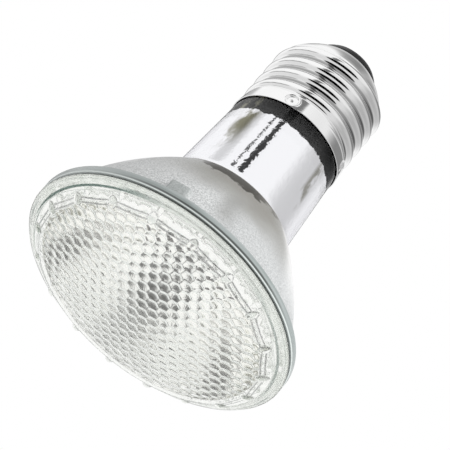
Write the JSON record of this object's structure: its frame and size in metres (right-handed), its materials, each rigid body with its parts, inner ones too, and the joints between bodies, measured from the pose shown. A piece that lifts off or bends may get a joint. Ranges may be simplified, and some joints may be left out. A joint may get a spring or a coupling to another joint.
{
  "type": "halogen reflector heat bulb",
  "caption": "Halogen heat bulb: a pressed glass reflector with a honeycomb lens, mirrored bowl, long neck and a screw cap, round a quartz burner on the axis.",
  "frame": {"origin": "crown of the front lens, on the lamp axis, where the bulb stands on its lens", "axes": "+Z along the lamp axis from the lens to the end contact; the small lug of the bowl lies at 110 degrees clockwise from +X, seen from +Z"},
  "size_m": [0.0634, 0.0634, 0.0808],
  "materials": {
    "lens_glass": "clear pressed glass",
    "seal": "dark fused bead",
    "reflector_glass": "pressed glass, mirrored inside, frosted on the bowl",
    "cap_metal": "polished",
    "black_glass": "glossy black",
    "contact_metal": "satin",
    "solder": "dull bright tin",
    "quartz": "clear quartz",
    "tungsten": "grey drawn wire",
    "molybdenum": "satin",
    "nickel_wire": "satin",
    "ceramic": "pale steatite ceramic",
    "cement": "rough pale cement",
    "glass_sleeve": "woven glass fibre",
    "fuse_glass": "clear glass",
    "copper_wire": "drawn copper"
  },
  "bodies": {
    "root": {"front_lens": "lens_glass", "rim_seal": "seal", "reflector": "reflector_glass", "screw_shell": "cap_metal", "insulator": "black_glass", "centre_contact": "contact_metal", "centre_solder": "solder", "capsule_envelope": "quartz", "filament": "tungsten", "filament_leg_left": "molybdenum", "filament_leg_right": "molybdenum", "foil_left": "molybdenum", "foil_right": "molybdenum", "lead_pin_left": "nickel_wire", "lead_pin_right": "nickel_wire", "capsule_holder": "ceramic", "holder_cement": "cement", "sleeve_left": "glass_sleeve", "sleeve_right": "glass_sleeve", "fuse_tube": "fuse_glass", "fuse_wire": "nickel_wire", "centre_lead": "copper_wire", "side_lead": "copper_wire"}
  },
  "joints": []
}
